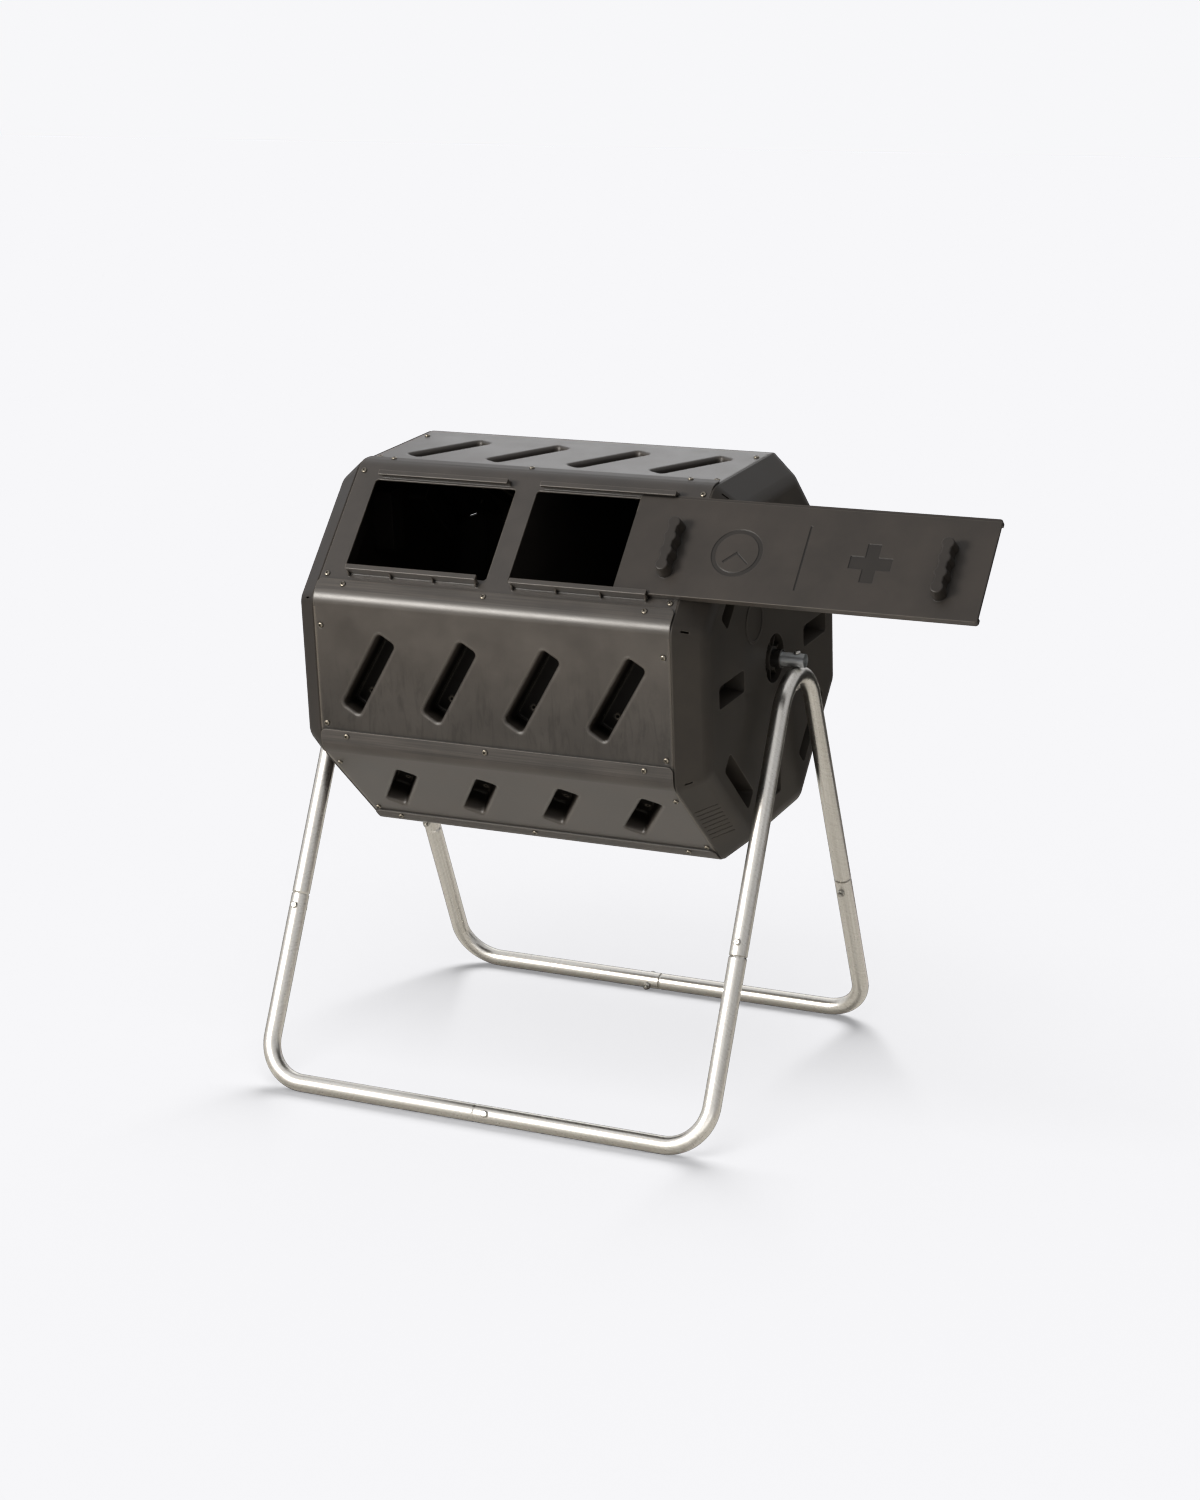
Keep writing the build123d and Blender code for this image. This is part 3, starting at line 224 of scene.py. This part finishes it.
def moulded_plastic(name, turn, light, dark, gloss, rough, edge_round=EDGE_ROUND, lip_round=EDGE_ROUND,
                    panel=False, wisps=0.0, low_shade=0.0, highlight_from=None, cut_reach=None):
    """Grained polypropylene, clouded by the flow of the melt in tone and in roughness.
    Places are taken to the face: x along the drum, y up the face and z out from the axle. Painted shade
    darkens the colour where surfaces close in. A panel has wisps low on its face and painted shade on its
    lower face, pockets darkened and dulled with depth as painted shade, edges within the face of
    lip_round, and past its bend a dull, streaked lap. Edges that stand out get a pale painted highlight,
    from a given distance off the middle line on if one is given. At cut_reach from the axle lies a floor
    that is cut into the face and left dark, and above it are grips that are darker than the face."""
    material, tree, surface = new_material(name)
    place = add(tree, "ShaderNodeTexCoord")["Object"]
    face = add(tree, "ShaderNodeMapping", {"vector_type": "TEXTURE"},
               {"Vector": place, "Location": (0, 0, AXLE_HEIGHT), "Rotation": (turn, 0, 0)})[0]
    _, up, out = add(tree, "ShaderNodeSeparateXYZ", None, {0: face})
    off_middle = add(tree, "ShaderNodeMath", {"operation": "ABSOLUTE"}, {0: up})[0]

    # Clouds, and wisps in them that hang from the lower part of a panel's face
    tone = add(tree, "ShaderNodeTexNoise", None,
               {"Vector": face, "Scale": 1 / CLOUD, "Detail": 5.0, "Roughness": 0.6})[0]
    if panel:
        low_face = add(tree, "ShaderNodeMapRange", {"interpolation_type": "SMOOTHSTEP"},
                       {"Value": up, "From Min": LOW_FACE_FROM, "From Max": LOW_FACE_FULL})[0]
        stretched = add(tree, "ShaderNodeVectorMath", {"operation": "MULTIPLY"},
                        {0: face, 1: (1 / WISP_WIDTH, 1 / WISP_LENGTH, 1 / WISP_LENGTH)})[0]
        wisp = add(tree, "ShaderNodeTexNoise", None,
                   {"Vector": stretched, "Scale": 1.0, "Detail": 3.0, "Roughness": 0.65,
                    "Distortion": 1.2})[0]
        wisp_peak = add(tree, "ShaderNodeMapRange", None,
                        {"Value": wisp, "From Min": WISP_LOW, "From Max": WISP_HIGH,
                         "To Max": -wisps})[0]
        tone = add(tree, "ShaderNodeMath", {"operation": "MULTIPLY_ADD"},
                   {0: wisp_peak, 1: low_face, 2: tone})[0]
    shade = add(tree, "ShaderNodeMapRange", None,
                {"Value": tone, "From Min": CLOUD_LOW, "From Max": CLOUD_HIGH})[0]
    colour = add(tree, "ShaderNodeMix", {"data_type": "RGBA"},
                 {0: shade, 6: linear(dark), 7: linear(light)})[2]
    roughness = add(tree, "ShaderNodeMapRange", None,
                    {"Value": tone, "From Min": CLOUD_LOW, "From Max": CLOUD_HIGH,
                     "To Min": rough[0], "To Max": rough[1]})[0]

    # Painted shade in the nooks, and in the pockets and low on the face of a panel; a darker, streaked
    # lap
    # Painted shade: ambient occlusion darkens the colour in nooks and creases.
    nook = add(tree, "ShaderNodeAmbientOcclusion", {"samples": 6}, {"Distance": NOOK})["AO"]
    painted_shade_and_marks = add(tree, "ShaderNodeMapRange", None,
                {"Value": nook, "From Min": NOOK_SHUT, "From Max": NOOK_OPEN, "To Min": NOOK_SHADE_TONE})[0]
    shine, round_here = gloss, edge_round
    if panel:
        off_face = add(tree, "ShaderNodeMath", {"operation": "GREATER_THAN"},
                       {0: off_middle, 1: FACE_HALF})[0]
        # Painted shade: the pockets darken with depth.
        pocket_shade = add(tree, "ShaderNodeMapRange", {"interpolation_type": "SMOOTHSTEP"},
                    {"Value": out, "From Min": POCKET_REACH - POCKET_FADE, "From Max": POCKET_REACH,
                     "To Min": POCKET_SHADE_TONE})[0]
        pocket_shade = add(tree, "ShaderNodeMath", {"operation": "MAXIMUM"}, {0: pocket_shade, 1: off_face})[0]
        on_lap = add(tree, "ShaderNodeMapRange", {"interpolation_type": "SMOOTHSTEP"},
                     {"Value": up, "From Min": LAP_FROM, "From Max": LAP_FROM + LAP_FADE})[0]
        streak_place = add(tree, "ShaderNodeVectorMath", {"operation": "MULTIPLY"},
                           {0: face, 1: (1 / STREAK_LENGTH, 1 / STREAK_WIDTH, 1 / STREAK_WIDTH)})[0]
        streaks = add(tree, "ShaderNodeTexNoise", None,
                      {"Vector": streak_place, "Scale": 1.0, "Detail": 2.0, "Roughness": 0.6})[0]
        streak_tone = add(tree, "ShaderNodeMapRange", None,
                          {"Value": streaks, "From Min": STREAK_LOW, "From Max": STREAK_HIGH,
                           "To Min": STREAK_DARK, "To Max": STREAK_LIGHT})[0]
        lap_tone = add(tree, "ShaderNodeMix", {"data_type": "FLOAT"},
                       {0: on_lap, 2: 1.0, 3: streak_tone})[0]
        # Painted shade: the lower part of the face is darkened.
        low_shade_tone = add(tree, "ShaderNodeMath", {"operation": "MULTIPLY_ADD"},
                        {0: low_face, 1: -low_shade, 2: 1.0})[0]
        for part in (pocket_shade, lap_tone, low_shade_tone):
            painted_shade_and_marks = add(tree, "ShaderNodeMath", {"operation": "MULTIPLY"}, {0: painted_shade_and_marks, 1: part})[0]
        roughness = add(tree, "ShaderNodeMath", {"operation": "MULTIPLY_ADD"},
                        {0: on_lap, 1: LAP_DULL, 2: roughness})[0]
        # Painted shade: the gloss fades with pocket depth, so the pockets lose their reflections.
        shine = add(tree, "ShaderNodeMath", {"operation": "MULTIPLY"}, {0: pocket_shade, 1: gloss})[0]
        round_here = add(tree, "ShaderNodeMath", {"operation": "MULTIPLY_ADD"},
                         {0: off_face, 1: edge_round - lip_round, 2: lip_round})[0]
    if cut_reach:
        cut_floor = add(tree, "ShaderNodeMath", {"operation": "COMPARE"},
                        {0: out, 1: cut_reach, 2: CUT_MARGIN})[0]
        grip = add(tree, "ShaderNodeMath", {"operation": "GREATER_THAN"},
                   {0: out, 1: cut_reach + GRIP_START})[0]
        for part, part_shade in ((cut_floor, CUT_SHADE), (grip, GRIP_SHADE)):
            painted_shade_and_marks = add(tree, "ShaderNodeMath", {"operation": "MULTIPLY_ADD"},
                        {0: part, 1: -part_shade, 2: painted_shade_and_marks})[0]
    colour = add(tree, "ShaderNodeMix", {"data_type": "RGBA", "blend_type": "MULTIPLY"},
                 {0: 1.0, 6: colour, 7: painted_shade_and_marks})[2]

    # Rounded edges, with a painted highlight where they stand out: there the rounded normal leaves the
    # flat one
    rounded = add(tree, "ShaderNodeBevel", {"samples": 8}, {"Radius": round_here})[0]
    flat = add(tree, "ShaderNodeNewGeometry")["Normal"]
    likeness = add(tree, "ShaderNodeVectorMath", {"operation": "DOT_PRODUCT"},
                   {0: rounded, 1: flat})["Value"]
    # Painted highlight: edges that stand out are lightened as if catching the light on their rounding.
    edge_highlight = add(tree, "ShaderNodeMapRange", None,
               {"Value": likeness, "From Min": HIGHLIGHT_STARTS_AT, "From Max": HIGHLIGHT_FULL_AT,
                "To Max": EDGE_HIGHLIGHT_LEVEL})[0]
    stands_out = add(tree, "ShaderNodeMapRange", None,
                     {"Value": nook, "From Min": HIGHLIGHT_SHUT, "From Max": HIGHLIGHT_OPEN})[0]
    edge_highlight = add(tree, "ShaderNodeMath", {"operation": "MULTIPLY"}, {0: edge_highlight, 1: stands_out})[0]
    if highlight_from:
        past_highlight_line = add(tree, "ShaderNodeMath", {"operation": "GREATER_THAN"},
                     {0: off_middle, 1: highlight_from})[0]
        edge_highlight = add(tree, "ShaderNodeMath", {"operation": "MULTIPLY"}, {0: edge_highlight, 1: past_highlight_line})[0]
    colour = add(tree, "ShaderNodeMix", {"data_type": "RGBA"},
                 {0: edge_highlight, 6: colour, 7: linear(EDGE_HIGHLIGHT_COLOUR)})[2]

    grain = add(tree, "ShaderNodeTexNoise", None,
                {"Vector": place, "Scale": 1 / GRAIN, "Detail": 2.0, "Roughness": 0.6})[0]
    bump = add(tree, "ShaderNodeBump", None,
               {"Strength": GRAIN_STRENGTH, "Distance": GRAIN_HEIGHT, "Height": grain,
                "Normal": rounded})[0]
    plastic = add(tree, "ShaderNodeBsdfPrincipled", None,
                  {"Base Color": colour, "Roughness": roughness, "IOR": PLASTIC_IOR,
                   "Specular IOR Level": shine, "Normal": bump})[0]
    tree.links.new(plastic, surface)
    return material


def face_turn(side):
    """Turn about X that lays the face of a side, counted up from the front, in the plane z = reach."""
    return math.pi / 2 - SIDE_ANGLE * side + DRUM_TURN


for panel, side in SIDES.items():
    look = FRONT_LOOK if panel == "front_panel" else OTHER_LOOK
    lip_round = EDGE_ROUND if panel == "door_panel" else POCKET_LIP
    finish_node(panel, moulded_plastic(f"{panel}_polypropylene", face_turn(side), gloss=PANEL_GLOSS,
                                       rough=PANEL_ROUGH, lip_round=lip_round, panel=True, **look))


# End plates, hub bushes and the wall between the chambers: the same polypropylene, toned darker and
# duller and with crisper edges on the plates; on the plates the darker tone is painted shade, for an end
# that is turned away from the light. The left plate faces the brightest lamp, so it is toned darker still
# to look like the right one. The bushes are black acetal, which shines and runs dry on the axle.
PLATE_ROUND = 0.0008

# Painted shade: the right plate is toned darker than the sides, for an end turned away from the light.
finish_node("end_plate_right", moulded_plastic(
    "end_plate_polypropylene", DRUM_TURN, light="#3b3630", dark="#2a2622",
    gloss=0.3, rough=(0.48, 0.58), edge_round=PLATE_ROUND))
finish_node("end_plate_left", moulded_plastic(
    "left_plate_polypropylene", DRUM_TURN, light="#2f2a26", dark="#221e1b",
    gloss=0.2, rough=(0.45, 0.55), edge_round=PLATE_ROUND))
finish_node("divider", moulded_plastic(
    "divider_polypropylene", DRUM_TURN, light="#3a3632", dark="#2b2825",
    gloss=0.25, rough=(0.45, 0.6)))
bush_acetal = moulded_plastic(
    "bush_acetal", DRUM_TURN, light="#1d1b19", dark="#141211", gloss=0.5, rough=(0.22, 0.32))
for bush in ("hub_bush_left", "hub_bush_right"):
    finish_node(bush, bush_acetal)


# Sliding door: a shallow tray moulded with its two grips in the same charcoal polypropylene, duller than
# the sides, with a painted highlight along the edges that run in the rails. The clock, the plus and the
# groove are cut 0.7 mm deep, and their floors are left dark.
DOOR_SIDE = 1
DOOR_CUT_REACH = 0.2827
DOOR_HIGHLIGHT_FROM = 0.06

finish_node("sliding_door", moulded_plastic(
    "door_polypropylene", face_turn(DOOR_SIDE), light="#433d38", dark="#332f2b",
    gloss=0.3, rough=(0.36, 0.48), highlight_from=DOOR_HIGHLIGHT_FROM, cut_reach=DOOR_CUT_REACH))


# Floor and room: a plain floor that only takes shadows, in a pale room. What the shine of the plastic and
# the steel sees of the room is duskier to the right and behind.
PALE, WHITE_LIGHT = "#f7f7f9", "#ffffff"
FLOOR_COLOUR = "#8a8782"
FLOOR_REACH = 30.0
DUSK_TOWARDS = (0.9, 0.42, -0.1)
DUSK_FROM, DUSK_FULL = -0.2, 0.7
DUSK_LEVEL = 0.35
SOFT_LEVEL = 0.4
WALL_BASE, WALL_SHARE = 0.45, 0.55


def flat_card(name, corners, finish, colour):
    """A card with four corners in a matt finish."""
    mesh = bpy.data.meshes.new(name)
    mesh.from_pydata(corners, [], [(0, 1, 2, 3)])
    card = bpy.data.objects.new(name, mesh)
    bpy.context.scene.collection.objects.link(card)
    material, tree, surface = new_material(finish)
    matt = add(tree, "ShaderNodeBsdfDiffuse", None, {"Color": linear(colour)})[0]
    tree.links.new(matt, surface)
    mesh.materials.append(material)
    return card


floor_corners = [(-FLOOR_REACH, -FLOOR_REACH, 0), (FLOOR_REACH, -FLOOR_REACH, 0),
                 (FLOOR_REACH, FLOOR_REACH, 0), (-FLOOR_REACH, FLOOR_REACH, 0)]
floor = flat_card("floor", floor_corners, "pale_floor", FLOOR_COLOUR)
floor.is_shadow_catcher = True

room = bpy.data.worlds.new("pale_room")
bpy.context.scene.world = room
room.use_nodes = True
tree = room.node_tree
tree.nodes.clear()
ray = add(tree, "ShaderNodeLightPath")
towards = add(tree, "ShaderNodeTexCoord")["Generated"]
to_dusk = add(tree, "ShaderNodeVectorMath", {"operation": "DOT_PRODUCT"},
              {0: towards, 1: DUSK_TOWARDS})["Value"]
dusk = add(tree, "ShaderNodeMapRange", {"interpolation_type": "SMOOTHSTEP"},
           {"Value": to_dusk, "From Min": DUSK_FROM, "From Max": DUSK_FULL,
            "To Min": 1.0, "To Max": DUSK_LEVEL})[0]
mirrored = add(tree, "ShaderNodeMath", {"operation": "MAXIMUM"},
               {0: ray["Is Glossy Ray"], 1: ray["Is Transmission Ray"]})[0]
soft_level = add(tree, "ShaderNodeMath", {"operation": "MULTIPLY"}, {0: dusk, 1: SOFT_LEVEL})[0]
soft_light = add(tree, "ShaderNodeBackground", None,
                 {"Color": linear(WHITE_LIGHT), "Strength": soft_level})[0]
wall_level = add(tree, "ShaderNodeMath", {"operation": "MULTIPLY_ADD"},
                 {0: dusk, 1: WALL_SHARE, 2: WALL_BASE})[0]
side_wall = add(tree, "ShaderNodeBackground", None, {"Color": linear(PALE), "Strength": wall_level})[0]
pale_wall = add(tree, "ShaderNodeBackground", None, {"Color": linear(PALE), "Strength": 1.0})[0]
mixed = add(tree, "ShaderNodeMixShader", None, {0: mirrored, 1: soft_light, 2: side_wall})[0]
mixed = add(tree, "ShaderNodeMixShader", None, {0: ray["Is Camera Ray"], 1: mixed, 2: pale_wall})[0]
world_output = tree.nodes.new("ShaderNodeOutputWorld")
tree.links.new(mixed, world_output.inputs["Surface"])


# Dark flag: a matt black card that stands behind the right end and is seen only in reflections, where it
# keeps that end deep.
FLAG_COLOUR = "#0c0b0a"
FLAG_LEFT, FLAG_RIGHT = 0.45, 1.6
FLAG_BACK = 1.0
FLAG_TOP = 0.9

flag_corners = [(FLAG_LEFT, FLAG_BACK, 0.0), (FLAG_RIGHT, FLAG_BACK, 0.0),
                (FLAG_RIGHT, FLAG_BACK, FLAG_TOP), (FLAG_LEFT, FLAG_BACK, FLAG_TOP)]
flag = flat_card("dark_flag", flag_corners, "black_cloth", FLAG_COLOUR)
flag.visible_camera = False
flag.visible_diffuse = False
flag.visible_shadow = False


# Studio lamps: a soft box in front to the left, a wider one that only draws the bright line along the
# bend above the front panel, a faint one behind and one low in front. The floor has two lamps of its own:
# one from behind, in which only the feet cast shadows, and a wash that casts none.
WHITE = (1.0, 1.0, 1.0)
WARM = (1.0, 0.97, 0.93)
WARMER = (1.0, 0.95, 0.88)
FAINTLY_WARM = (1.0, 0.98, 0.95)
DRUM_FRONT = (0, -0.2, 0.72)


def soft_box(name, place, target, size, power, colour, only_mirrored=False):
    """A lamp of this width and height that faces its target and is unseen by the camera. One that is
    only mirrored shows in shiny surfaces and lights nothing else."""
    lamp = bpy.data.lights.new(name, "AREA")
    lamp.shape = "RECTANGLE"
    lamp.size, lamp.size_y = size
    lamp.energy = power
    lamp.color = colour
    box = bpy.data.objects.new(name, lamp)
    bpy.context.scene.collection.objects.link(box)
    box.location = place
    box.rotation_mode = "QUATERNION"
    box.rotation_quaternion = (Vector(target) - Vector(place)).to_track_quat("-Z", "Y")
    box.visible_diffuse = not only_mirrored
    box.visible_camera = False
    return box


def light_group(name, pieces, spared=False):
    """The pieces that a lamp is kept to or, if they are spared, kept off."""
    group = bpy.data.collections.new(name)
    for piece in pieces:
        group.objects.link(piece)
    if spared:
        for member in group.collection_objects:
            member.light_linking.link_state = "EXCLUDE"
    return group


front_box = soft_box("front_box", place=(-1.55, -2.9, 1.72), target=DRUM_FRONT, size=(1.1, 0.6),
                     power=78.0, colour=WARM)
bend_box = soft_box("bend_box", place=(-1.6, -2.85, 1.6), target=DRUM_FRONT, size=(1.8, 0.7),
                    power=85.0, colour=WARMER, only_mirrored=True)
back_box = soft_box("back_box", place=(-1.0, 3.3, 2.2), target=(0, 0, 0.8), size=(2.0, 1.5),
                    power=8.5, colour=WHITE)
soft_box("floor_box", place=(0.6, -1.5, 0.02), target=(0.2, -0.1, 0.55), size=(2.0, 0.8),
         power=6.0, colour=FAINTLY_WARM)
rail_box = soft_box("rail_box", place=(-0.5, 2.4, 2.9), target=(0, 0, 0), size=(2.4, 2.4),
                    power=330.0, colour=WHITE)
wash_box = soft_box("wash_box", place=(0.3, -1.4, 2.6), target=(0.3, -1.4, 0), size=(1.5, 1.5),
                    power=130.0, colour=WHITE)
wash_box.data.use_shadow = False

end_plates = [nodes["end_plate_left"], nodes["end_plate_right"]]
bend_box.light_linking.receiver_collection = light_group("not_the_ends", end_plates, spared=True)
not_the_floor = light_group("not_the_floor", [floor], spared=True)
for box in (front_box, back_box):
    box.light_linking.receiver_collection = not_the_floor
only_floor = light_group("only_floor", [floor])
for box in (rail_box, wash_box):
    box.light_linking.receiver_collection = only_floor
feet = [nodes[tube] for tube in TUBES if tube.startswith("foot")]
rail_box.light_linking.blocker_collection = light_group("stand_feet", feet)


# Camera: a 70 mm lens on an upright frame 36 mm tall, 24.9 degrees to the right of the front and looking
# down by 14 degrees. The focal length is given in pixels of a picture 1500 pixels tall.
FRAME_TALL = 36.0
PICTURE_TALL = 1500.0
FOCAL_PIXELS = 2912.6
CAMERA_PLACE = (1.8034, -3.7963, 1.5234)
CAMERA_AZIMUTH, CAMERA_ELEVATION = math.radians(24.88), math.radians(14.03)
FAR_CLIP = 200.0

camera_data = bpy.data.cameras.new("camera")
camera_data.sensor_width = FRAME_TALL
camera_data.lens = FOCAL_PIXELS * FRAME_TALL / PICTURE_TALL
camera_data.clip_end = FAR_CLIP
camera = bpy.data.objects.new("camera", camera_data)
bpy.context.scene.collection.objects.link(camera)
backwards = Vector((math.sin(CAMERA_AZIMUTH) * math.cos(CAMERA_ELEVATION),
                    -math.cos(CAMERA_AZIMUTH) * math.cos(CAMERA_ELEVATION),
                    math.sin(CAMERA_ELEVATION)))
camera.location = CAMERA_PLACE
camera.rotation_mode = "QUATERNION"
camera.rotation_quaternion = (-backwards).to_track_quat("-Z", "Y")
bpy.context.scene.camera = camera

bpy.context.scene.view_settings.view_transform = "Standard"
